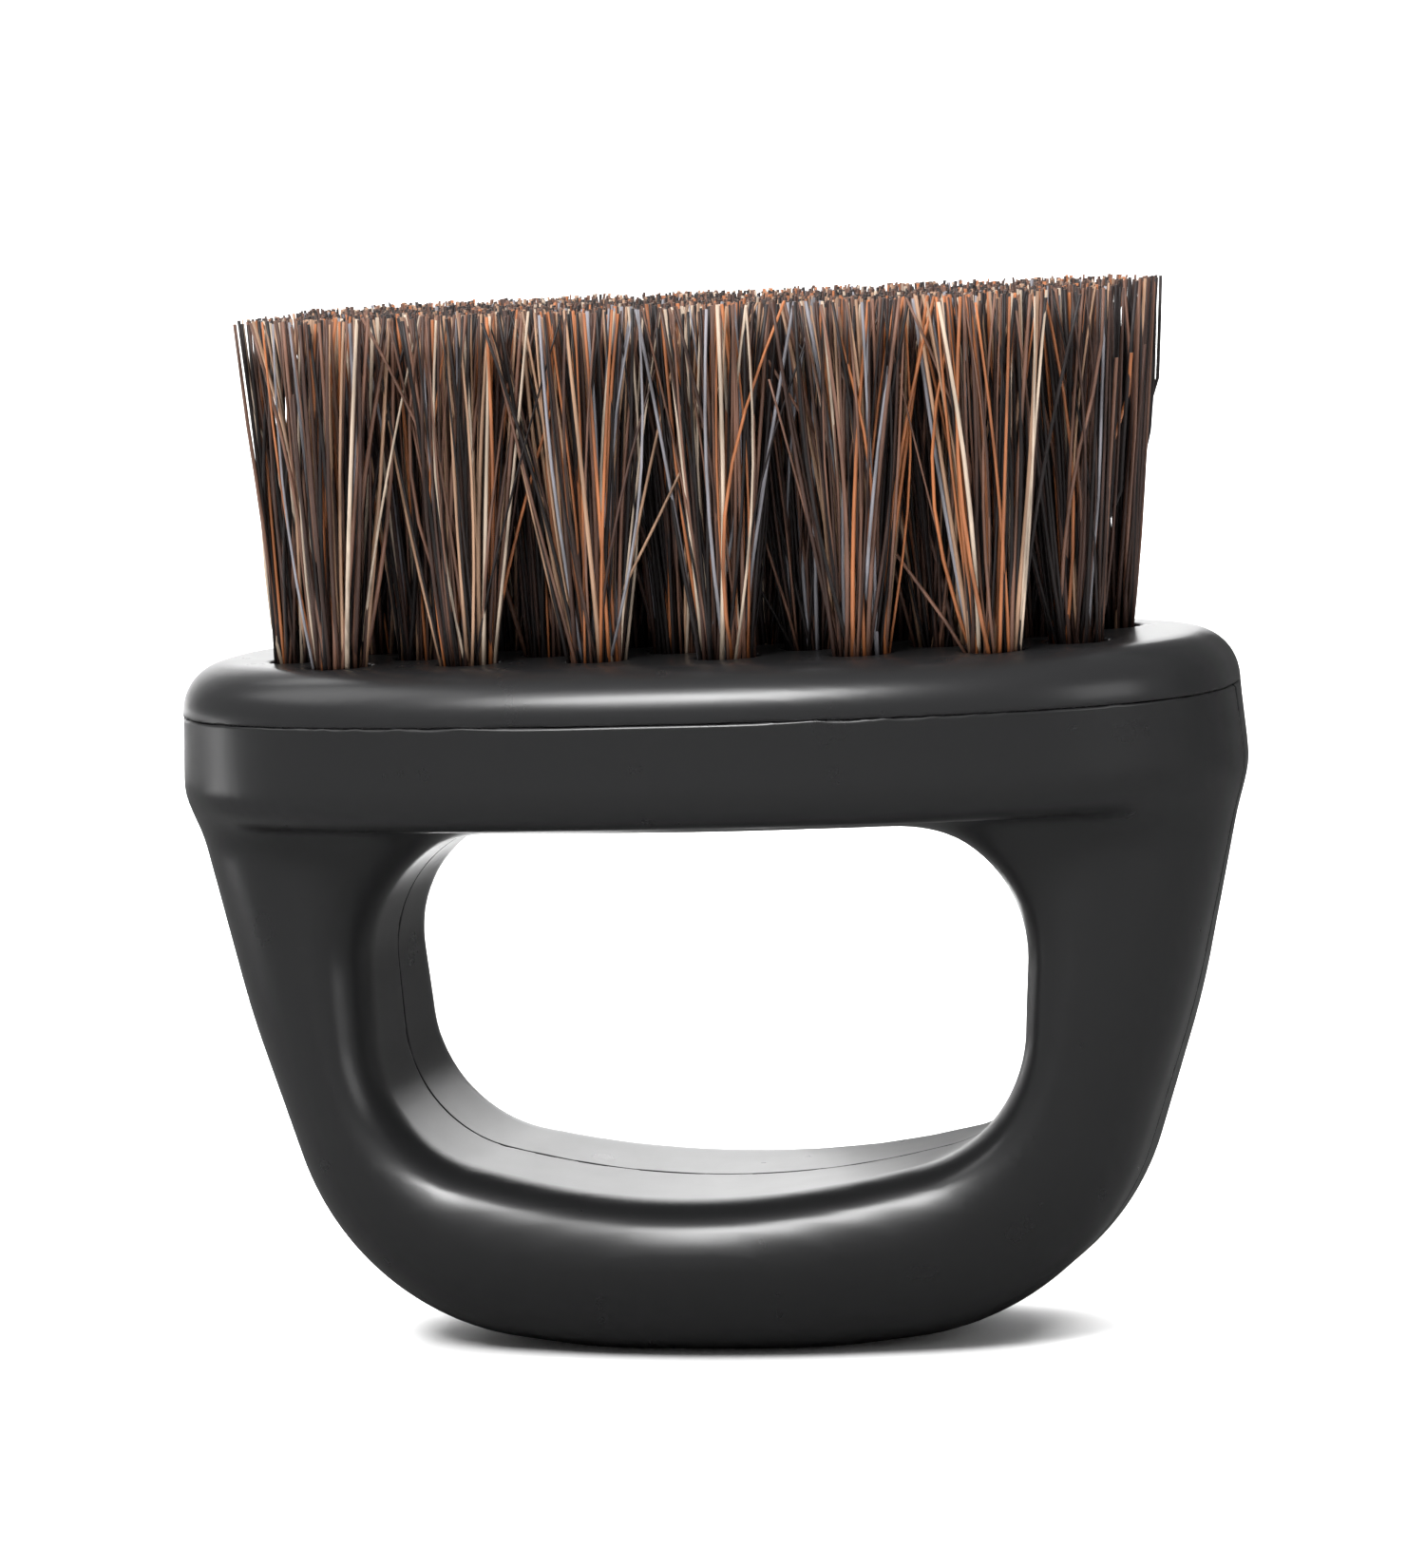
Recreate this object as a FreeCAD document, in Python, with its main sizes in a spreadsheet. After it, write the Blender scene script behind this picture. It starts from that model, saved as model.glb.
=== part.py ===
import FreeCAD, Part
import math
import os
from FreeCAD import Vector as V

# Fade brush: a short wide head full of hair tufts on a finger-loop handle.
# Millimetres. X is the width, -Y the front, +Z up (hair on top). Z = 0 is the foot of the loop.

doc = FreeCAD.newDocument("fade_brush")

# ---------------------------------------------------------------- driving sizes
sheet = doc.addObject("Spreadsheet::Sheet", "Sizes")
SIZES = [
    ("head_width", 70.0), ("head_depth", 35.0), ("head_corner", 14.0),
    ("head_floor", 35.4), ("part_line", 42.2), ("head_top", 45.7),
    ("head_low_round", 2.0), ("head_top_round", 3.2),
    ("foot_depth", 27.4), ("waist_depth", 21.2), ("ring_round", 7.0), ("core_round", 3.4), ("opening_round", 2.8),
    ("wall", 2.2), ("slip", 0.15),
    ("pin_radius", 1.0), ("boss_radius", 2.0), ("pin_reach", 2.2), ("socket_depth", 2.6),
    ("hole_radius", 2.0), ("hole_depth", 5.6),
    ("hair_top", 68.4), ("tuft_radius", 1.9), ("tip_half_x", 4.13), ("tip_half_y", 3.0),
    ("anchor_length", 4.6), ("anchor_height", 1.3), ("anchor_thick", 0.4), ("anchor_lift", 0.7),
]
for row, (name, value) in enumerate(SIZES, 1):
    sheet.set("A%d" % row, name)
    sheet.set("B%d" % row, str(value))
    sheet.setAlias("B%d" % row, name)
doc.recompute()
S = dict(SIZES)

# Corner points of the loop seen from the front: x, z, corner radius (anticlockwise).
# Its top runs on into the head and is cut off level with the parting line.
RING = [(34.9, 52.0, 9.0), (-34.9, 52.0, 9.0), (-34.9, 32.6, 38.0), (-24.8, 1.7, 18.3),
        (-9.0, 0.0, 40.0), (9.0, 0.0, 40.0), (24.8, 1.7, 18.3), (34.9, 32.6, 38.0)]
OPENING = [(22.6, 34.2, 8.8), (-22.6, 34.2, 8.8), (-21.6, 14.0, 8.3),
           (0.0, 9.2, 60.0), (21.6, 14.0, 8.3)]
PINS = [(-27.4, 24.0), (27.4, 24.0), (-14.0, 6.2), (14.0, 6.2)]   # x, z of the locating pins

# Tuft rows, front to back: y at the root, y at the tip, number of tufts.
ROWS = [(-10.0, -10.9, 6), (-5.0, -5.45, 7), (0.0, 0.0, 6), (5.0, 5.45, 7), (10.0, 10.9, 6)]
ROOT_PITCH, TIP_PITCH = 8.7, 8.65


def bind(obj, **links):
    """Tie properties of an object to the sheet; a double underscore stands for a dot."""
    for prop, text in links.items():
        obj.setExpression(prop.replace("__", "."), text)
    return obj


def add(kind, name, **links):
    return bind(doc.addObject(kind, name), **links)


# ---------------------------------------------------------------- outlines
def inset(points, depth):
    """The same outline with every side moved inwards by depth."""
    out = []
    for i, (x, y, r) in enumerate(points):
        a, b = points[i - 1], points[(i + 1) % len(points)]
        u = V(a[0] - x, a[1] - y, 0).normalize()
        w = V(b[0] - x, b[1] - y, 0).normalize()
        move = (u + w).normalize() * (depth / math.sin(u.getAngle(w) / 2))
        out.append((x + move.x, y + move.y, max(r - depth, 0.3)))
    return out


def rounded(points):
    """Lines and corner arcs through the given corner points."""
    corners, items = [], []
    for i, (x, y, r) in enumerate(points):
        a, b = points[i - 1], points[(i + 1) % len(points)]
        p = V(x, y, 0)
        u = V(a[0] - x, a[1] - y, 0).normalize()
        w = V(b[0] - x, b[1] - y, 0).normalize()
        half = u.getAngle(w) / 2
        centre = p + (u + w).normalize() * (r / math.sin(half))
        corners.append((p + u * (r / math.tan(half)), p + w * (r / math.tan(half)), centre, r))
    for i, (start, end, centre, r) in enumerate(corners):
        a0 = math.atan2(start.y - centre.y, start.x - centre.x)
        a1 = math.atan2(end.y - centre.y, end.x - centre.x)
        items.append(Part.ArcOfCircle(Part.Circle(centre, V(0, 0, 1), r), a0, a1))
        following = corners[(i + 1) % len(corners)][0]
        if (following - end).Length > 1e-6:
            items.append(Part.LineSegment(end, following))
    return items


def plan(depth=0.0):
    """Outline of the head seen from above, moved inwards by depth."""
    x, y, r = S["head_width"] / 2, S["head_depth"] / 2, S["head_corner"]
    return inset([(x, y, r), (-x, y, r), (-x, -y, r), (x, -y, r)], depth)


# ---------------------------------------------------------------- bodies
def body(name, label=None):
    b = doc.addObject("PartDesign::Body", name)
    b.Label = label or name
    return b


def sketch(b, name, plane, outlines, lift=None):
    """Sketch on one of the body's own origin planes."""
    s = b.newObject("Sketcher::SketchObject", name)
    s.AttachmentSupport = [(next(f for f in b.Origin.OriginFeatures if f.Role == plane), "")]
    s.MapMode = "FlatFace"
    if lift:
        s.setExpression("AttachmentOffset.Base.z", lift)
    for outline in outlines:
        s.addGeometry(rounded(outline), False)
    return s


def pad(b, name, profile, length, midplane=False, reversed_=False):
    p = b.newObject("PartDesign::Pad", name)
    p.Profile = profile
    p.Midplane = midplane
    p.Reversed = reversed_
    p.setExpression("Length", length)
    doc.recompute()
    return p


def round_edges(b, name, base, pick, radius):
    """Round the edges of the base for which pick(edge) holds."""
    names = ["Edge%d" % i for i, e in enumerate(base.Shape.Edges, 1) if pick(e)]
    f = b.newObject("PartDesign::Fillet", name)
    f.Base = (base, names)
    f.setExpression("Radius", radius)
    doc.recompute()
    return f


def flat_at(edge, axis, value):
    box = edge.BoundBox
    low, high = (box.YMin, box.YMax) if axis == "y" else (box.ZMin, box.ZMax)
    return abs(low - value) < 1e-5 and abs(high - value) < 1e-5


def face_loops(base, outer):
    """Edges round the front and rear faces: the outline, or the opening's loop."""
    found = []
    for face in base.Shape.Faces:
        if abs(face.normalAt(0, 0).y) > 0.9:
            for wire in face.Wires:
                if wire.isSame(face.OuterWire) == outer:
                    found += wire.Edges
    return lambda edge: any(edge.isSame(f) for f in found)


def half_depth(z):
    """Half the loop's depth at height z: it narrows from its foot to its waist."""
    return (S["foot_depth"] + (S["waist_depth"] - S["foot_depth"]) * z / S["head_floor"]) / 2


def side_cut(side, wall):
    """Region beyond one slanting face, in Y and Z."""
    low, high, far = -2.0, 60.0, 25.0
    a, b = half_depth(low) - wall, half_depth(high) - wall
    corners = [(a, low), (far, low), (far, high), (b, high)]
    ring = [(side * y, z) for y, z in corners]
    return [Part.LineSegment(V(*p, 0), V(*q, 0)) for p, q in zip(ring, ring[1:] + ring[:1])]


def ring_form(name, wall):
    """Loop as a solid bar; a wall above zero gives the hollow inside it."""
    b = body(name)
    s = sketch(b, name + "_sketch", "XZ_Plane", [inset(RING, wall), inset(OPENING, -wall)])
    pad(b, name + "_pad", s, "Sizes.foot_depth + 10", midplane=True)
    sides = sketch(b, name + "_sides", "YZ_Plane", [])
    for side in (1, -1):
        sides.addGeometry(side_cut(side, wall), False)
    taper = b.newObject("PartDesign::Pocket", name + "_taper")
    taper.Profile = sides
    taper.Midplane = True
    taper.setExpression("Length", "Sizes.head_width * 2")
    doc.recompute()
    outer = round_edges(b, name + "_outer_round", taper, face_loops(taper, True),
                        "Sizes.core_round" if wall else "Sizes.ring_round")
    if wall == 0:
        return b, round_edges(b, name + "_opening_round", outer, face_loops(outer, False),
                              "Sizes.opening_round")
    return b, outer


def head_form(name, wall, floor):
    b = body(name)
    s = sketch(b, name + "_sketch", "XY_Plane", [plan(wall)], floor)
    p = pad(b, name + "_pad", s, "Sizes.part_line - (%s)" % floor)
    low = S["head_floor"] + wall
    return b, round_edges(b, name + "_low_round", p, lambda e: flat_at(e, "z", low),
                          "Sizes.head_low_round - %g" % (wall and 1.5))


outer_ring, _ = ring_form("outer_ring", 0)
outer_head, _ = head_form("outer_head", 0, "Sizes.head_floor")
inner_ring, _ = ring_form("inner_ring", S["wall"])
inner_head, _ = head_form("inner_head", S["wall"], "Sizes.head_floor + Sizes.wall")


# ---------------------------------------------------------------- handle shells
def fuse(name, shapes):
    f = doc.addObject("Part::MultiFuse", name)
    f.Shapes = shapes
    f.Refine = True
    return f


def cut(name, base, tool):
    c = doc.addObject("Part::Cut", name)
    c.Base, c.Tool = base, tool
    return c


def common(name, base, tool):
    c = doc.addObject("Part::Common", name)
    c.Base, c.Tool = base, tool
    return c


handle_outside = fuse("handle_outside", [outer_ring, outer_head])
handle_inside = fuse("handle_inside", [inner_ring, inner_head])
handle_skin = cut("handle_skin", handle_outside, handle_inside)


def half_box(name, rear):
    b = doc.addObject("Part::Box", name)
    bind(b, Length="2 * Sizes.head_width", Width="Sizes.head_depth", Height="Sizes.part_line + 1")
    b.Placement.Base = V(-S["head_width"], 0 if rear else -S["head_depth"], -1)
    return b


def rod(name, radius, length, x, y, z):
    """Cylinder along +Y starting at y."""
    c = doc.addObject("Part::Cylinder", name)
    bind(c, Radius=radius, Height=length)
    c.Placement = FreeCAD.Placement(V(x, y, z), FreeCAD.Rotation(V(1, 0, 0), -90))
    return c


front_half = common("front_half", handle_skin, half_box("front_space", False))
rear_half = common("rear_half", handle_skin, half_box("rear_space", True))
pins, bosses, sockets = [], [], []
for i, (x, z) in enumerate(PINS, 1):
    reach = half_depth(z) - S["wall"] + 0.6
    for name, radius, extra, group in (("front_boss_%d", "Sizes.boss_radius", "0", pins),
                                       ("front_pin_%d", "Sizes.pin_radius", "Sizes.pin_reach", pins)):
        group.append(rod(name % i, radius, "%g + %s" % (reach, extra), x, -reach, z))
    bosses.append(rod("rear_boss_%d" % i, "Sizes.boss_radius + 0.2", "%g" % reach, x, 0, z))
    sockets.append(rod("rear_socket_%d" % i, "Sizes.pin_radius + 0.05", "Sizes.socket_depth", x, 0, z))

front_shell = fuse("front_shell", [front_half] + pins)
rear_solid = fuse("rear_solid", [rear_half] + bosses)
rear_shell = cut("rear_shell", rear_solid, fuse("rear_sockets", sockets))

# ---------------------------------------------------------------- tuft block
block = body("block_form")
cap_sketch = sketch(block, "cap_sketch", "XY_Plane", [plan()], "Sizes.part_line")
cap = pad(block, "cap_pad", cap_sketch, "Sizes.head_top - Sizes.part_line")
cap_round = round_edges(block, "cap_round", cap, lambda e: flat_at(e, "z", S["head_top"]),
                        "Sizes.head_top_round")
skirt_sketch = sketch(block, "skirt_sketch", "XY_Plane", [plan(S["wall"] + S["slip"])],
                      "Sizes.part_line")
pad(block, "skirt_pad", skirt_sketch,
    "Sizes.part_line - Sizes.head_floor - Sizes.wall - Sizes.slip", reversed_=True)

hole_floor = S["head_top"] - S["hole_depth"]
holes, sub_parts = [], [front_shell, rear_shell]
for r, (y_root, y_tip, count) in enumerate(ROWS, 1):
    anchors = []
    for c in range(count):
        key = "r%d_c%d" % (r, c + 1)
        step = c - (count - 1) / 2
        x_root, x_tip = step * ROOT_PITCH, step * TIP_PITCH

        hole = add("Part::Cylinder", "hole_" + key, Radius="Sizes.hole_radius",
                   Height="Sizes.hole_depth + 1")
        hole.Placement.Base = V(x_root, y_root, hole_floor)
        anchor = add("Part::Box", "anchor_" + key, Length="Sizes.anchor_length",
                     Width="Sizes.anchor_thick", Height="Sizes.anchor_height")
        anchor.Placement.Base = V(x_root - S["anchor_length"] / 2, y_root - S["anchor_thick"] / 2,
                                  hole_floor + S["anchor_lift"])
        holes += [hole, anchor]
        anchors.append(anchor)

        # Tuft: straight in its hole, then a flared bundle up to the level cut.
        rings = []
        for part, height in (("foot", "Sizes.head_top - Sizes.hole_depth + 0.1"),
                             ("root", "Sizes.head_top")):
            ring = add("Part::Circle", "%s_%s" % (part, key), Radius="Sizes.tuft_radius",
                       Placement__Base__z=height)
            ring.Placement.Base = V(x_root, y_root, 0)
            rings.append(ring)
        tip = add("Part::Ellipse", "tip_" + key, MajorRadius="Sizes.tip_half_x",
                  MinorRadius="Sizes.tip_half_y", Placement__Base__z="Sizes.hair_top")
        tip.Placement.Base = V(x_tip, y_tip, 0)
        bundle = doc.addObject("Part::Loft", "bundle_" + key)
        bundle.Sections = rings + [tip]
        bundle.Solid = True
        bundle.Ruled = True
        slot = add("Part::Box", "slot_" + key, Length="Sizes.anchor_length",
                   Width="Sizes.anchor_thick + 0.04", Height="Sizes.anchor_height + 0.04")
        slot.Placement.Base = anchor.Placement.Base - V(0, 0.02, 0.02)
        sub_parts.append(cut("tuft_" + key, bundle, slot))
    group = doc.addObject("Part::Compound", "anchors_r%d" % r)
    group.Links = anchors
    sub_parts.append(group)

tuft_block = cut("tuft_block", block, fuse("block_holes", holes))
sub_parts.append(tuft_block)
doc.recompute()

# ---------------------------------------------------------------- check and write
for obj in doc.Objects:
    assert not set(obj.State) & {"Invalid", "Error"}, (obj.Name, obj.State)
for b in (outer_ring, outer_head, inner_ring, inner_head, block):
    assert b.Tip is not None and b.Shape.isValid() and len(b.Shape.Solids) == 1, b.Name
assert handle_skin.Shape.Volume < 0.8 * handle_outside.Shape.Volume
assert tuft_block.Shape.Volume < block.Shape.Volume
os.makedirs("parts", exist_ok=True)
for obj in sub_parts:
    shape = obj.Shape
    solids = 1 if not obj.Name.startswith("anchors") else len(obj.Links)
    assert not shape.isNull() and shape.isValid(), obj.Name
    assert len(shape.Solids) == solids, (obj.Name, len(shape.Solids))
    obj.Label = obj.Name
    shape.exportStep("parts/%s.step" % obj.Label)
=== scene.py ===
import math

import bpy
import numpy as np
from mathutils import Matrix, Vector


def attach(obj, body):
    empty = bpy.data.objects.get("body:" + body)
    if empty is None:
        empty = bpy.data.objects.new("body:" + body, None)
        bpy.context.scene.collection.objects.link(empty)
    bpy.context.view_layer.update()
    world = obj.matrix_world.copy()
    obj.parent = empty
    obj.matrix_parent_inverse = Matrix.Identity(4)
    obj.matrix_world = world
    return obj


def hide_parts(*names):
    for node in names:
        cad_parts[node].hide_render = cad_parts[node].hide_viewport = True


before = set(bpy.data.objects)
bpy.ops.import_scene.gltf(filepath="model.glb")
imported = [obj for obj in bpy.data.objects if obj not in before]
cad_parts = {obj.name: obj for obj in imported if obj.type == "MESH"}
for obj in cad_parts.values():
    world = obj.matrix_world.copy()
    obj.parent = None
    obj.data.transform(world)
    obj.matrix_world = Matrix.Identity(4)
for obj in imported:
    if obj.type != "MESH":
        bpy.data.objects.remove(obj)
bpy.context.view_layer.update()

MM = 0.001
PART_LINE, HEAD_TOP, HAIR_TOP = 42.2, 45.7, 68.4

# ------------------------------------------------------------------ distance fields (mm)
# Corner points of the loop and of its opening seen from the front: x, z, corner radius.
LOOP = [(29.0, 50.0, 9.0), (-29.0, 50.0, 9.0), (-35.7, 38.0, 12.0), (-31.6, 22.0, 60.0),
        (-24.6, 1.75, 18.0), (-8.0, 0.0, 45.0), (8.0, 0.0, 45.0), (24.8, 1.75, 18.0),
        (31.9, 22.0, 60.0), (35.8, 38.0, 12.0)]
OPENING = [(22.6, 34.2, 8.6), (-22.6, 34.2, 8.6), (-21.6, 13.8, 9.0),
           (0.0, 9.0, 60.0), (21.6, 13.8, 9.0)]
FOOT_HALF, WAIST_HALF, WAIST_HEIGHT = 13.8, 10.6, 36.4
OUTER_ROUND, BLEND = 8.0, 2.3
LOOP_CUT = 41.0  # the loop ends at this height, inside the head
# The front and rear of the loop are crowned towards the opening, then turn a tighter edge,
# whose radius grows a little with the height above the opening's floor.
CROWN_RADIUS, CROWN_REACH, EDGE_ROUND, EDGE_GROWTH = 8.0, 4.8, 1.6, 0.05
OPENING_FLOOR, GROWTH_HEIGHT = 9.0, 30.0
BOW, BOW_WIDTH = 2.2, 14.0  # the loop is deepest in the middle of its bar
HEAD_X, HEAD_Y, HEAD_POWER = 35.15, 17.5, 2.5
HEAD_FLOOR, HEAD_LOW_ROUND, HEAD_TOP_ROUND = 35.2, 2.6, 3.3
FAR = 1e9  # larger than any distance


def outline(points):
    """Straight and round stretches of a closed anticlockwise outline."""
    corners = []
    for i, (x, y, r) in enumerate(points):
        p = np.array((x, y))
        u = np.array(points[i - 1][:2]) - p
        w = np.array(points[(i + 1) % len(points)][:2]) - p
        u, w = u / np.linalg.norm(u), w / np.linalg.norm(w)
        half = math.acos(float(u @ w)) / 2
        middle = (u + w) / np.linalg.norm(u + w)
        cut = r / math.tan(half)
        corners.append((p + u * cut, p + w * cut, p + middle * (r / math.sin(half)), -middle,
                        math.pi / 2 - half, r))
    sides = [(corners[i][1], corners[(i + 1) % len(corners)][0]) for i in range(len(corners))]
    return corners, sides


def outline_distance(shape, x, z):
    """Signed distance to the outline, negative inside."""
    corners, sides = shape
    best = np.full(x.shape, FAR)
    value = np.full(x.shape, FAR)

    def take(d, signed):
        near = d < best
        best[near] = d[near]
        value[near] = signed[near]

    for _, _, centre, out, spread, r in corners:
        dx, dz = x - centre[0], z - centre[1]
        length = np.hypot(dx, dz) + 1e-9
        inside = (dx * out[0] + dz * out[1]) / length >= math.cos(spread) - 1e-9
        d = np.where(inside, np.abs(length - r), FAR)
        take(d, length - r)
    for a, b in sides:
        run = b - a
        size = np.linalg.norm(run)
        if size < 1e-6:
            continue
        run = run / size
        dx, dz = x - a[0], z - a[1]
        along = np.clip(dx * run[0] + dz * run[1], 0, size)
        across = dx * run[1] - dz * run[0]
        take(np.hypot(dx - along * run[0], dz - along * run[1]), across)
    return value


def both(a, b, r):
    """Common part of two fields, its edge rounded."""
    u, v = np.maximum(a + r, 0), np.maximum(b + r, 0)
    return np.minimum(np.maximum(a, b), -r) + np.sqrt(u * u + v * v)


def melt(a, b, k):
    """Two fields joined, the corner between them filled over a width of about k."""
    h = np.clip(0.5 + 0.5 * (b - a) / k, 0, 1)
    return b * (1 - h) + a * h - k * h * (1 - h)


LOOP_SHAPE, OPENING_SHAPE = outline(LOOP), outline(OPENING)


def head_plan(x, y):
    """Distance to the head's outline seen from above, an oval with full corners."""
    n = HEAD_POWER
    ax, ay = np.abs(x) / HEAD_X, np.abs(y) / HEAD_Y
    r = np.maximum(ax ** n + ay ** n, 1e-9) ** (1 / n)
    slope = np.hypot(ax ** (n - 1) / HEAD_X, ay ** (n - 1) / HEAD_Y) * r ** (1 - n)
    return (r - 1) / (slope + 1e-9)


def body_field(x, y, z):
    """Whole outside of handle and head."""
    low = np.clip(z / WAIST_HEIGHT, 0, 1)
    depth = np.abs(y) - FOOT_HALF + (FOOT_HALF - WAIST_HALF) * low
    depth = depth + BOW * (1 - np.exp(-(x / BOW_WIDTH) ** 2))
    loop = both(outline_distance(LOOP_SHAPE, x, z), depth, OUTER_ROUND)
    inward = outline_distance(OPENING_SHAPE, x, z)
    rest = np.clip(CROWN_REACH - inward, 0, CROWN_REACH)
    crown = CROWN_RADIUS - np.sqrt(CROWN_RADIUS ** 2 - rest ** 2)
    edge = EDGE_ROUND + EDGE_GROWTH * np.clip(z - OPENING_FLOOR, 0, GROWTH_HEIGHT)
    loop = np.maximum(loop, both(-inward, depth + crown, edge))
    loop = np.maximum(loop, z - LOOP_CUT)
    head = both(head_plan(x, y), z - HEAD_TOP, HEAD_TOP_ROUND)
    head = np.maximum(head, both(head_plan(x, y), HEAD_FLOOR - z, HEAD_LOW_ROUND))
    return melt(head, loop, BLEND)


# Rounding of the edges along the two joints, and how far each piece stops short of them.
SEAM, FINE_SEAM = 0.09, 0.03
SEAM_GAP, PART_GAP = 0.01, 0.004
WELL_RADIUS, WELL_DEPTH = 2.05, 0.9


def shell_field(side):
    """Front half of the handle for side 1, rear half for side -1."""
    def field(x, y, z):
        half = both(body_field(x, y, z), side * y + SEAM_GAP, SEAM)
        return both(half, z - PART_LINE + PART_GAP, FINE_SEAM)
    return field


def block_field(x, y, z):
    """Cap of the head with a shallow well under each tuft."""
    cap = both(body_field(x, y, z), PART_LINE + PART_GAP - z, FINE_SEAM)
    wells = np.full(x.shape, FAR)
    for root, _ in TUFTS.values():
        wells = np.minimum(wells, np.hypot(x - root[0], y - root[1]) - WELL_RADIUS)
    return np.maximum(cap, -np.maximum(wells, HEAD_TOP - WELL_DEPTH - z))


FINE_STEP, STEP_GROWTH = 0.06, 1.25


def spaced(low, high, step, fine=None):
    """Grid positions, closer together around the place called fine."""
    if fine is None:
        return np.linspace(low, high, int(round((high - low) / step)) + 1)
    near, gap = [0.5 * FINE_STEP], FINE_STEP
    while near[-1] < max(high - fine, fine - low):
        near.append(near[-1] + gap)
        gap = min(gap * STEP_GROWTH, step)
    near = np.array(near)
    places = np.concatenate([fine - near[::-1], fine + near])
    return places[(places > low - step) & (places < high + step)]


def add_object(name, data):
    """New object in the scene for this mesh, lamp or camera."""
    thing = bpy.data.objects.new(name, data)
    bpy.context.scene.collection.objects.link(thing)
    return thing


def crossing_points(value, cells, axes):
    """One point in each cell: the middle of the places where the surface cuts its edges."""
    total, hits = np.zeros((len(cells), 3)), np.zeros(len(cells))
    for axis in range(3):
        others = [a for a in range(3) if a != axis]
        for u in (0, 1):
            for w in (0, 1):
                start = np.zeros(3, int)
                start[others[0]], start[others[1]] = u, w
                a = cells + start
                b = a.copy()
                b[:, axis] += 1
                fa, fb = value[tuple(a.T)], value[tuple(b.T)]
                cross = (fa < 0) != (fb < 0)
                t = np.where(cross, fa / np.where(cross, fa - fb, 1), 0)
                point = np.stack([axes[q][a[:, q]] for q in range(3)], 1)
                point[:, axis] += t * (axes[axis][b[:, axis]] - axes[axis][a[:, axis]])
                total[cross] += point[cross]
                hits[cross] += 1
    return total / hits[:, None]


PULLS, PROBE, LEAST_SLOPE, LONGEST_PULL = 3, 0.01, 0.2, 0.15


def pull_to_surface(field, points):
    """Move the points along the field's slope onto its zero surface."""
    for _ in range(PULLS):
        f = field(*points.T)
        slope = np.stack([field(*(points + PROBE * np.eye(3)[q]).T) - f for q in range(3)], 1) / PROBE
        move = slope * (f / np.maximum((slope ** 2).sum(1), LEAST_SLOPE))[:, None]
        points -= np.clip(move, -LONGEST_PULL, LONGEST_PULL)
    return points


def facing_quads(inside, index):
    """A quad across every grid edge that the surface cuts, facing outwards."""
    quads = []
    for axis in range(3):
        p, q = [(1, 2), (2, 0), (0, 1)][axis]
        first, last = [slice(None)] * 3, [slice(None)] * 3
        first[axis], last[axis] = slice(0, -1), slice(1, None)
        a, b = inside[tuple(first)], inside[tuple(last)]
        edges = np.argwhere(a != b)
        solid = a[tuple(edges.T)]

        def cell(dp, dq):
            c = edges.copy()
            c[:, p] -= dp
            c[:, q] -= dq
            return index[tuple(c.T)]

        faces = np.stack([cell(1, 1), cell(0, 1), cell(0, 0), cell(1, 0)], 1)
        faces[~solid] = faces[~solid][:, ::-1]
        quads.append(faces)
    return np.concatenate(quads)


def skin(name, field, xs, ys, zs):
    """Closed mesh of the field's zero surface, its points moved onto the surface."""
    value = field(*np.meshgrid(xs, ys, zs, indexing="ij"))
    inside = value < 0
    shape = np.array(inside.shape)
    count = sum(inside[i:shape[0] - 1 + i, j:shape[1] - 1 + j, k:shape[2] - 1 + k].astype(int)
                for i in (0, 1) for j in (0, 1) for k in (0, 1))
    cells = np.argwhere((count > 0) & (count < 8))
    index = -np.ones(count.shape, int)
    index[tuple(cells.T)] = np.arange(len(cells))
    points = pull_to_surface(field, crossing_points(value, cells, (xs, ys, zs)))
    mesh = bpy.data.meshes.new(name)
    mesh.from_pydata((points * MM).tolist(), [], facing_quads(inside, index).tolist())
    mesh.polygons.foreach_set("use_smooth", [True] * len(mesh.polygons))
    mesh.update()
    return add_object(name, mesh)


# ------------------------------------------------------------------ materials
def material(name, color, roughness):
    """Plain material, its node tree and its shader."""
    m = bpy.data.materials.new(name)
    m.use_nodes = True
    shader = m.node_tree.nodes["Principled BSDF"]
    shader.inputs["Base Color"].default_value = (*color, 1)
    shader.inputs["Roughness"].default_value = roughness
    return m, m.node_tree, shader


def noise(tree, vector, scale, detail):
    """Output of a noise texture read at the given vector."""
    texture = tree.nodes.new("ShaderNodeTexNoise")
    texture.inputs["Scale"].default_value = scale
    texture.inputs["Detail"].default_value = detail
    tree.links.new(vector, texture.inputs["Vector"])
    return texture.outputs["Fac"]


HAZE_SCALE, RIPPLE_SCALE = 260, 900
HAZE_BELOW, HAZE_ABOVE = 0.012, 0.018  # change of roughness in the haze
RIPPLE_STRENGTH, RIPPLE_HEIGHT = 0.01, 0.0001


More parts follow.
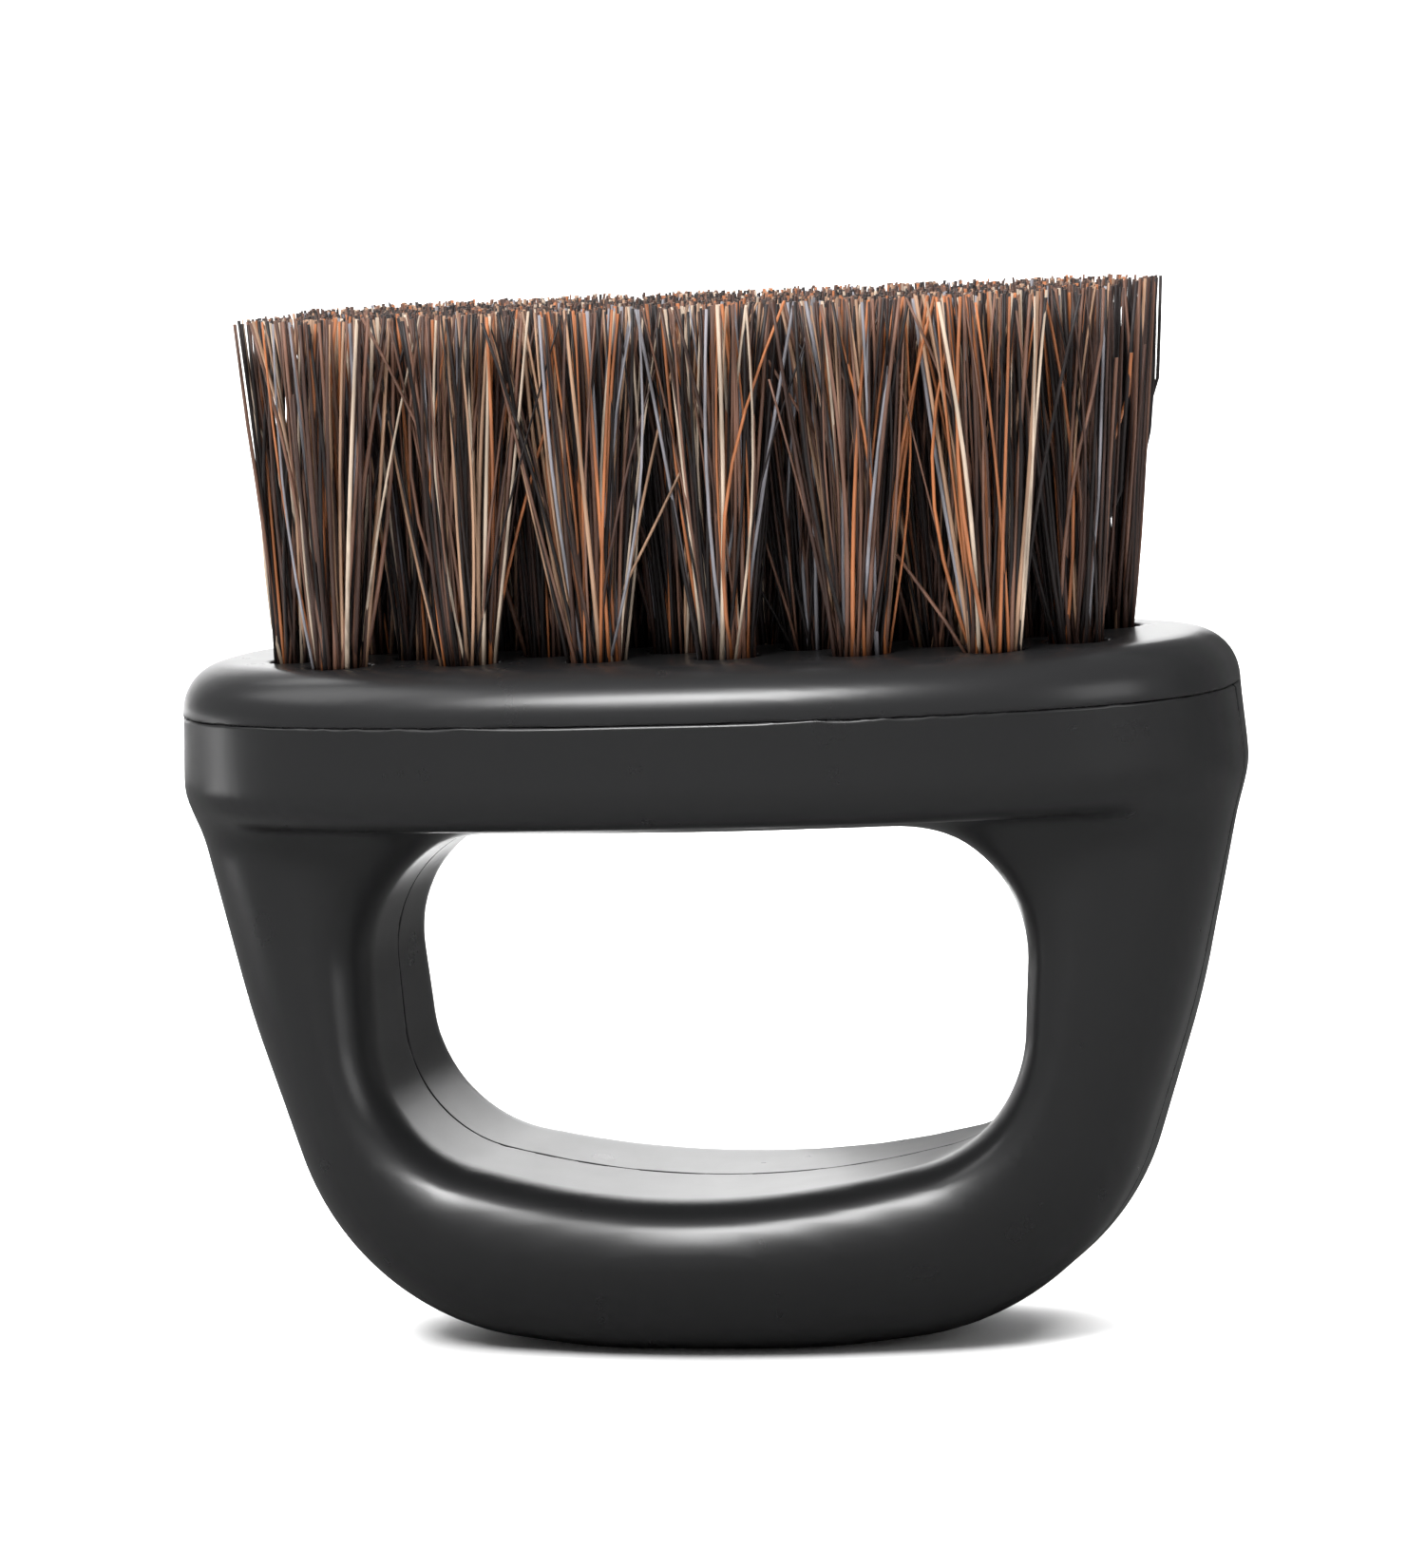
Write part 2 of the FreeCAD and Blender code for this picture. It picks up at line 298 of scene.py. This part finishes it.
def plastic(name, color, roughness):
    """Glossy black ABS: faint mottling in its gloss and a very slight ripple of the surface."""
    m, tree, shader = material(name, color, roughness)
    shader.inputs["IOR"].default_value = 1.5
    new, link = tree.nodes.new, tree.links.new
    place = new("ShaderNodeTexCoord").outputs["Object"]
    spread = new("ShaderNodeMapRange")
    spread.inputs["From Min"].default_value = 0.2
    spread.inputs["From Max"].default_value = 0.8
    spread.inputs["To Min"].default_value = roughness - HAZE_BELOW
    spread.inputs["To Max"].default_value = roughness + HAZE_ABOVE
    link(noise(tree, place, HAZE_SCALE, 4), spread.inputs["Value"])
    link(spread.outputs["Result"], shader.inputs["Roughness"])
    bump = new("ShaderNodeBump")
    bump.inputs["Strength"].default_value = RIPPLE_STRENGTH
    bump.inputs["Distance"].default_value = RIPPLE_HEIGHT
    link(noise(tree, place, RIPPLE_SCALE, 2), bump.inputs["Height"])
    link(bump.outputs["Normal"], shader.inputs["Normal"])
    return m


HAIR_ROUGHNESS, GRAIN_SCALE, GRAIN_ALONG = 0.5, 1400, 0.06
# Where the darker and the paler tone of a hair start in its noise, and their strength.
DARK_AT, PALE_AT, DARKER, PALER = 0.32, 0.68, 0.55, 1.35


def hair(name, color):
    """One natural hair colour, varied from strand to strand and along each strand."""
    m, tree, shader = material(name, color, HAIR_ROUGHNESS)
    new, link = tree.nodes.new, tree.links.new
    stretch = new("ShaderNodeMapping")
    stretch.inputs["Scale"].default_value = (1, 1, GRAIN_ALONG)
    link(new("ShaderNodeTexCoord").outputs["Object"], stretch.inputs["Vector"])
    ramp = new("ShaderNodeValToRGB")
    dark, pale = ramp.color_ramp.elements
    dark.position, pale.position = DARK_AT, PALE_AT
    dark.color = (*[c * DARKER for c in color], 1)
    pale.color = (*[min(c * PALER, 1) for c in color], 1)
    link(noise(tree, stretch.outputs["Vector"], GRAIN_SCALE, 3), ramp.inputs["Fac"])
    link(ramp.outputs["Color"], shader.inputs["Base Color"])
    return m


SHELL = plastic("black_shell", (0.008, 0.008, 0.0084), 0.28)
BLOCK = plastic("black_block", (0.0085, 0.0085, 0.009), 0.28)
HAIRS = [
    hair("hair_black", (0.012, 0.0085, 0.0085)),
    hair("hair_dark_brown", (0.040, 0.019, 0.0135)),
    hair("hair_brown", (0.105, 0.050, 0.032)),
    hair("hair_chestnut", (0.24, 0.080, 0.026)),
    hair("hair_tan", (0.24, 0.142, 0.088)),
    hair("hair_cream", (0.32, 0.25, 0.19)),
    hair("hair_grey", (0.15, 0.145, 0.16)),
]
# Share of each colour in the front and rear rows, and in the rows between them. The rows between get
# far more of the dark colours: painted shade, standing in for the shade inside the tuft field.
OUTER_MIX = (0.20, 0.20, 0.20, 0.13, 0.14, 0.08, 0.05)
INNER_MIX_PAINTED_SHADE = (0.42, 0.28, 0.13, 0.06, 0.06, 0.03, 0.02)
CUT_END = 4  # darker hairs show this colour on their cut ends

# ------------------------------------------------------------------ tufts
# Each row's depth at the head, its depth at the tips, and its number of tufts.
ROWS = [(-10.0, -10.9, 6), (-5.0, -5.45, 7), (0.0, 0.0, 6), (5.0, 5.45, 7), (10.0, 10.9, 6)]
ROOT_PITCH, TIP_PITCH = 8.7, 8.65
TUFTS = {}
for row, (root_y, tip_y, number) in enumerate(ROWS, 1):
    for column in range(number):
        step = column - (number - 1) / 2
        TUFTS["tuft_r%d_c%d" % (row, column + 1)] = (
            (step * ROOT_PITCH, root_y), (step * TIP_PITCH, tip_y))

STRANDS, SIDES, JOINTS, FIRST_SEED = 125, 5, 8, 100
FOOT_RADIUS, SPREAD_X, SPREAD_Y, SCATTER = 1.75, 4.0, 2.9, (1.15, 0.9)
BEND, STRAY_BEND, STRAY_SHARE, STRAY_SCATTER = 0.45, 2.2, 0.09, (3.6, 1.6)
CUT_DROP, CUT_SCATTER, SHORT_SHARE, SHORT_BY = 0.15, 0.22, 0.3, (0.5, 5)
THICKNESS, THINNING, EASE, EDGE_SCATTER = (0.085, 0.18), 0.3, (1.0, 1.35), 0.2
ROOT_DEPTH, DEEPEST_TIP = 0.85, 13.6
# Outermost hairs at the head, how far they lean out at either end, and the shift of all tips.
ROOT_EDGE, LEFT_LEAN, RIGHT_LEAN, SHIFT = 27.6, 0.4, 2.1, 0.6


def tuft(node, root, tip, seed, mix):
    """A bundle of separate strands that leaves its hole tight and fans out to the level cut."""
    rng = np.random.default_rng(seed)
    points, faces, slots = [], [], []
    for _ in range(STRANDS):
        angle, far = rng.uniform(0, 2 * math.pi), math.sqrt(rng.uniform(0, 1))
        foot = np.array((FOOT_RADIUS * far * math.cos(angle), FOOT_RADIUS * far * math.sin(angle)))
        reach = np.array((foot[0] / FOOT_RADIUS * SPREAD_X, foot[1] / FOOT_RADIUS * SPREAD_Y))
        reach += rng.normal(0, SCATTER)
        stray = rng.uniform() < STRAY_SHARE
        if stray:
            reach += rng.normal(0, STRAY_SCATTER)
        bend = rng.normal(0, BEND, 2) * (STRAY_BEND if stray else 1)
        top = HAIR_TOP - CUT_DROP - abs(rng.normal(0, CUT_SCATTER))
        if stray and rng.uniform() < SHORT_SHARE:
            top -= rng.uniform(*SHORT_BY)
        goal = np.array(tip) + reach
        goal[0] += SHIFT
        goal[1] = np.clip(goal[1], -DEEPEST_TIP, DEEPEST_TIP)
        start = np.array(root) + foot
        thick = rng.uniform(*THICKNESS)
        color = rng.choice(len(HAIRS), p=mix)
        turn = rng.uniform(0, 2 * math.pi)
        ease = rng.uniform(*EASE)
        soft = abs(rng.normal(0, EDGE_SCATTER))
        base = len(points)
        for j in range(JOINTS):
            t = j / (JOINTS - 1)
            flat = start + (goal - start) * t ** ease + bend * math.sin(math.pi * t)
            flat[0] = np.clip(flat[0], -ROOT_EDGE - LEFT_LEAN * t + soft,
                              ROOT_EDGE + RIGHT_LEAN * t - soft)
            height = HEAD_TOP - ROOT_DEPTH + (top - HEAD_TOP + ROOT_DEPTH) * t
            width = thick * (1 - THINNING * t)
            for k in range(SIDES):
                a = turn + 2 * math.pi * k / SIDES
                points.append((flat[0] + width * math.cos(a), flat[1] + width * math.sin(a), height))
        for j in range(JOINTS - 1):
            for k in range(SIDES):
                a, b = base + j * SIDES + k, base + j * SIDES + (k + 1) % SIDES
                faces.append((a, b, b + SIDES, a + SIDES))
                slots.append(color)
        last = base + (JOINTS - 1) * SIDES
        faces.append(tuple(range(base, base + SIDES))[::-1])
        faces.append(tuple(range(last, last + SIDES)))
        slots += [color, CUT_END if color < CUT_END else color]
    mesh = bpy.data.meshes.new(node + "_hair")
    mesh.from_pydata((np.array(points) * MM).tolist(), [], faces)
    for m in HAIRS:
        mesh.materials.append(m)
    mesh.polygons.foreach_set("material_index", slots)
    mesh.polygons.foreach_set("use_smooth", [True] * len(faces))
    mesh.update()
    return add_object(node + "_hair", mesh)


for number, (node, (root, tip)) in enumerate(TUFTS.items()):
    outer = node.startswith(("tuft_r1", "tuft_r5"))
    # Tufts of the inner rows take the darker mix: painted shade between the tufts.
    piece = tuft(node, root, tip, FIRST_SEED + number, OUTER_MIX if outer else INNER_MIX_PAINTED_SHADE)
    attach(piece, "root")
    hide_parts(node)

# ------------------------------------------------------------------ handle
# Grid steps of the two skins, and grid limits a little outside the handle.
SHELL_STEP, BLOCK_STEP = 0.6, 0.36
WIDE, DEEP, OVER = 36, 19, 0.6
for node, side in (("front_shell", 1), ("rear_shell", -1)):
    near, far = (-DEEP, OVER) if side == 1 else (-OVER, DEEP)
    piece = skin(node + "_skin", shell_field(side), spaced(-WIDE, WIDE, SHELL_STEP),
                 spaced(near, far, SHELL_STEP, 0.0), spaced(-1, 42.8, SHELL_STEP, PART_LINE))
    piece.data.materials.append(SHELL)
    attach(piece, "root")
    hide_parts(node)
piece = skin("tuft_block_skin", block_field, spaced(-WIDE, WIDE, BLOCK_STEP),
             spaced(-18.5, 18.5, BLOCK_STEP), spaced(41.8, 45.8, BLOCK_STEP, PART_LINE))
piece.data.materials.append(BLOCK)
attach(piece, "root")
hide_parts("tuft_block")

wire, _, _ = material("anchor_wire", (0.55, 0.54, 0.52), 0.35)
wire.node_tree.nodes["Principled BSDF"].inputs["Metallic"].default_value = 1
for name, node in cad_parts.items():
    if name.startswith("anchors"):
        node.data.materials.clear()
        node.data.materials.append(wire)

# ------------------------------------------------------------------ stage
# Pale floor that curves up into a wall behind the brush, in metres.
FLOOR_X, FLOOR_NEAR, FLOOR_FAR, COVE, COVE_TOP = 4.0, -3.0, 1.6, 0.7, 3.0
profile = [(FLOOR_NEAR, 0.0), (FLOOR_FAR, 0.0)]
profile += [(FLOOR_FAR + COVE * math.sin(a), COVE * (1 - math.cos(a)))
            for a in np.linspace(0, math.pi / 2, 17)[1:]]
profile.append((FLOOR_FAR + COVE, COVE_TOP))
floor_mesh = bpy.data.meshes.new("floor")
verts = [(x, y, z) for y, z in profile for x in (-FLOOR_X, FLOOR_X)]
floor_mesh.from_pydata(verts, [], [(2 * i, 2 * i + 1, 2 * i + 3, 2 * i + 2)
                                   for i in range(len(profile) - 1)])
floor_mesh.polygons.foreach_set("use_smooth", [True] * len(floor_mesh.polygons))
floor = add_object("floor", floor_mesh)
paper, _, _ = material("paper", (0.93, 0.93, 0.93), 0.9)
floor_mesh.materials.append(paper)

world = bpy.data.worlds.new("studio")
world.use_nodes = True
world.node_tree.nodes["Background"].inputs["Color"].default_value = (1, 1, 1, 1)
world.node_tree.nodes["Background"].inputs["Strength"].default_value = 0.3
bpy.context.scene.world = world


def softbox(name, place, aim, width, height, power, glossy=True):
    """Rectangular lamp turned towards its aim, in metres and watts."""
    light = bpy.data.lights.new(name, "AREA")
    light.shape = "RECTANGLE"
    light.size, light.size_y, light.energy = width, height, power
    lamp = add_object(name, light)
    lamp.location = place
    lamp.rotation_euler = (Vector(aim) - Vector(place)).to_track_quat("-Z", "Y").to_euler()
    lamp.visible_glossy = glossy


softbox("key_top", (-0.18, -0.62, 0.66), (0, 0, 0.03), 0.26, 0.28, 7.0)
softbox("side_right", (0.85, -0.50, 0.35), (0, 0, 0.03), 0.5, 0.5, 1.5)
softbox("fill_left", (-0.7, -0.2, 0.8), (0, 0, 0.03), 0.5, 0.5, 2.0)
softbox("floor_wash", (0, 0.1, 1.9), (0, 0.1, 0), 3.0, 3.0, 150.0, glossy=False)
softbox("backdrop_wash", (-0.6, 0.8, 1.8), (-0.6, 2.2, 0.3), 1.6, 1.0, 22.0)

# Black cards round the brush, seen only in its gloss, keep its front and right side dark.
LOW = 0.0003  # height of the cards that lie on the floor
CARDS = [
    [(-1.5, -1.5, LOW), (1.5, -1.5, LOW), (1.5, -0.03, LOW), (-1.5, -0.03, LOW)],
    [(-0.22, -0.03, LOW), (1.5, -0.03, LOW), (1.5, 0.06, LOW), (-0.22, 0.06, LOW)],
    [(-0.03, 0.06, LOW), (1.5, 0.06, LOW), (1.5, 0.13, LOW), (-0.03, 0.13, LOW)],
    [(-0.6, 0.06, LOW), (-0.05, 0.06, LOW), (-0.05, 0.4, LOW), (-0.6, 0.4, LOW)],
    [(-0.10, 0.13, 0.0), (-0.062, 0.13, 0.0), (-0.062, 0.13, 0.03), (-0.10, 0.13, 0.03)],
    [(-0.03, 0.13, 0.0), (0.9, 0.13, 0.0), (0.9, 0.13, 0.04), (-0.03, 0.13, 0.04)],
    [(0.02, 0.13, 0.04), (0.9, 0.13, 0.04), (0.9, 0.13, 0.30), (0.02, 0.13, 0.30)],
]
card_mesh = bpy.data.meshes.new("black_cards")
card_mesh.from_pydata([p for card in CARDS for p in card], [],
                      [tuple(range(4 * i, 4 * i + 4)) for i in range(len(CARDS))])
cards = add_object("black_cards", card_mesh)
card_mesh.materials.append(material("card_black", (0.05, 0.05, 0.05), 1.0)[0])
cards.visible_camera = cards.visible_diffuse = cards.visible_shadow = False

# ------------------------------------------------------------------ camera
AZIMUTH, ELEVATION, ROLL = math.radians(15.54), math.radians(7.82), math.radians(2.855)
DISTANCE, PIXELS_PER_MM, IMAGE_WIDTH = 0.450, 15.974, 1500
SENSOR, SHIFT_RIGHT, SHIFT_UP, AIM_HEIGHT = 36.0, -8.4, 211.5, 0.0231
back = Vector((math.sin(AZIMUTH) * math.cos(ELEVATION), -math.cos(AZIMUTH) * math.cos(ELEVATION),
               math.sin(ELEVATION)))
right = Vector((math.cos(AZIMUTH), math.sin(AZIMUTH), 0))
up = back.cross(right)
right, up = (right * math.cos(ROLL) - up * math.sin(ROLL),
             up * math.cos(ROLL) + right * math.sin(ROLL))
aim = Vector((0, 0, AIM_HEIGHT))
camera_data = bpy.data.cameras.new("camera")
camera_data.sensor_fit = "HORIZONTAL"
camera_data.sensor_width = SENSOR
camera_data.lens = SENSOR * PIXELS_PER_MM * DISTANCE / MM / IMAGE_WIDTH
camera_data.shift_x, camera_data.shift_y = SHIFT_RIGHT / IMAGE_WIDTH, SHIFT_UP / IMAGE_WIDTH
camera_data.clip_start, camera_data.clip_end = 0.05, 20
camera = add_object("camera", camera_data)
camera.matrix_world = Matrix.Translation(aim + back * DISTANCE) @ Matrix(
    (right, up, back)).transposed().to_4x4()
bpy.context.scene.camera = camera
bpy.context.scene.view_settings.view_transform = "Standard"
